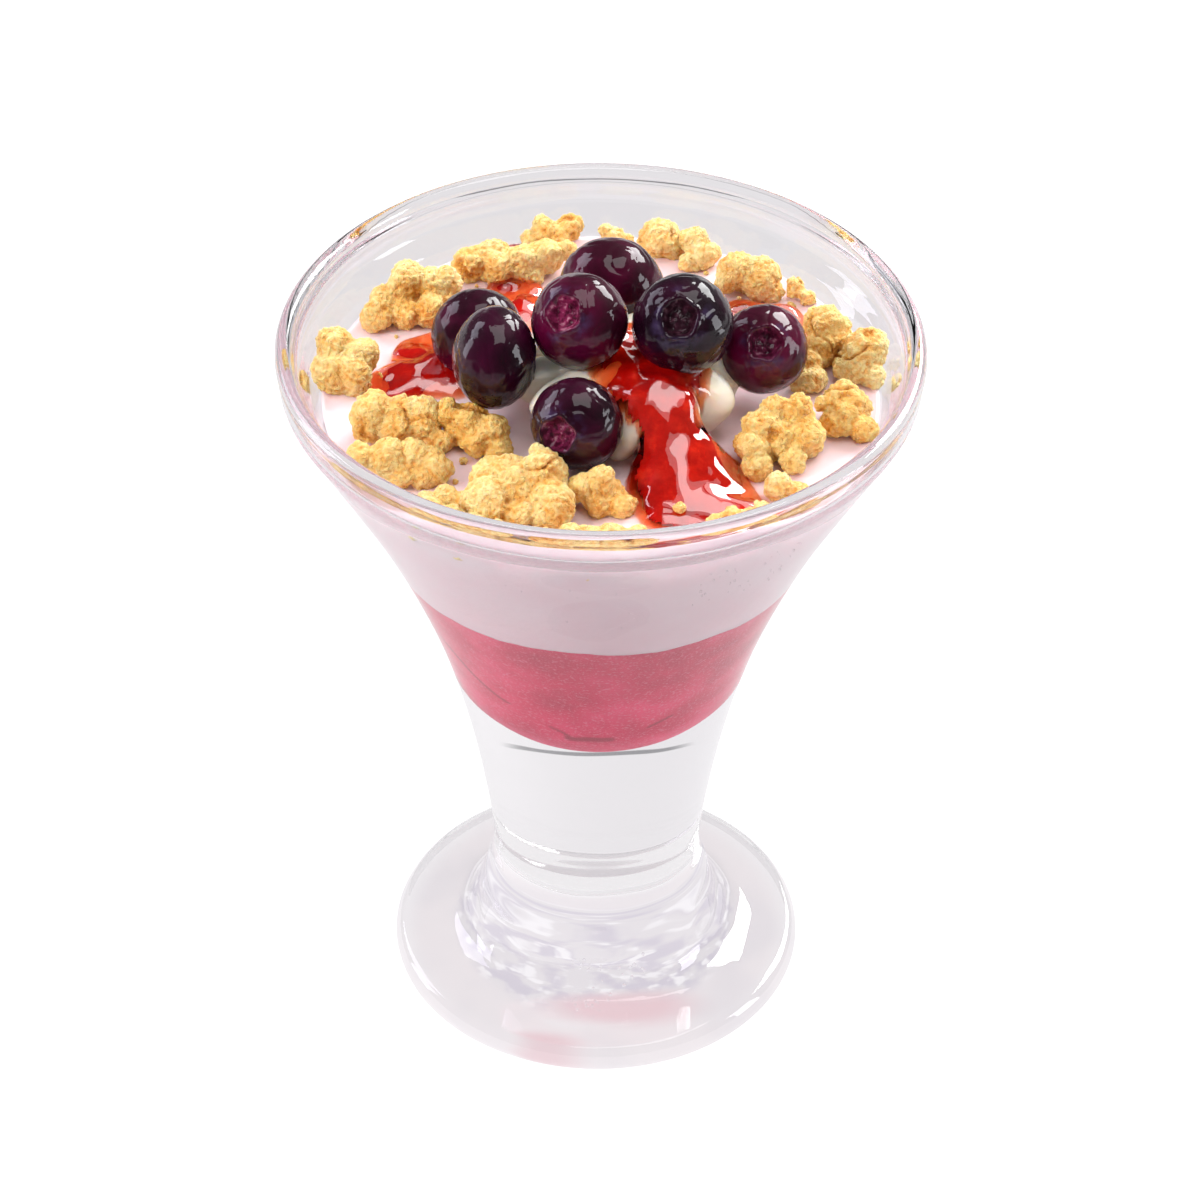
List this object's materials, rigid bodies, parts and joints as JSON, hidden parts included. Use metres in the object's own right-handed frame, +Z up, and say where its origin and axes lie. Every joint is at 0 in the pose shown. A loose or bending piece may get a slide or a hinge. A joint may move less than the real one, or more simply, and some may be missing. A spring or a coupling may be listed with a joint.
{
  "type": "ice cream sundae in a footed glass",
  "caption": "Layered berry sundae in a clear footed glass, topped with whipped cream, dark berries, berry sauce and golden crumble.",
  "frame": {"origin": "centre of the foot's underside, on the surface that the glass stands on", "axes": "+Z up along the glass axis, -Y towards the front, +X to the right seen from the front"},
  "size_m": [0.0876, 0.088, 0.1202],
  "materials": {
    "clear_glass": "clear pressed glass, fire-polished",
    "sorbet": "raspberry pink sorbet with a frosty grain",
    "yogurt": "smooth pale lilac-pink yogurt ice, soft gloss",
    "cream": "whipped cream, soft and slightly glossy",
    "berry_skin": "dark purple berry skin glazed with syrup",
    "sauce": "clear red berry sauce, wet gloss",
    "crumble": "baked golden crumble with a sugary grain",
    "droplets": "condensed water droplets"
  },
  "bodies": {
    "root": {"glass": "clear_glass", "sorbet_layer": "sorbet", "yogurt_layer": "yogurt", "cream_rosette": "cream", "berry_1": "berry_skin", "berry_2": "berry_skin", "berry_3": "berry_skin", "berry_4": "berry_skin", "berry_5": "berry_skin", "berry_6": "berry_skin", "berry_7": "berry_skin", "crumble_1": "crumble", "crumble_2": "crumble", "crumble_3": "crumble", "crumble_4": "crumble", "crumble_5": "crumble", "crumble_6": "crumble", "crumble_7": "crumble", "crumble_8": "crumble", "crumble_9": "crumble", "crumble_10": "crumble", "crumble_11": "crumble", "crumble_12": "crumble", "crumble_13": "crumble", "crumble_14": "crumble", "crumble_15": "crumble", "crumble_16": "crumble", "crumble_17": "crumble", "crumble_18": "crumble", "crumble_19": "crumble", "crumble_20": "crumble", "crumble_21": "crumble", "crumble_22": "crumble", "crumble_23": "crumble", "crumble_24": "crumble"}
  },
  "joints": []
}
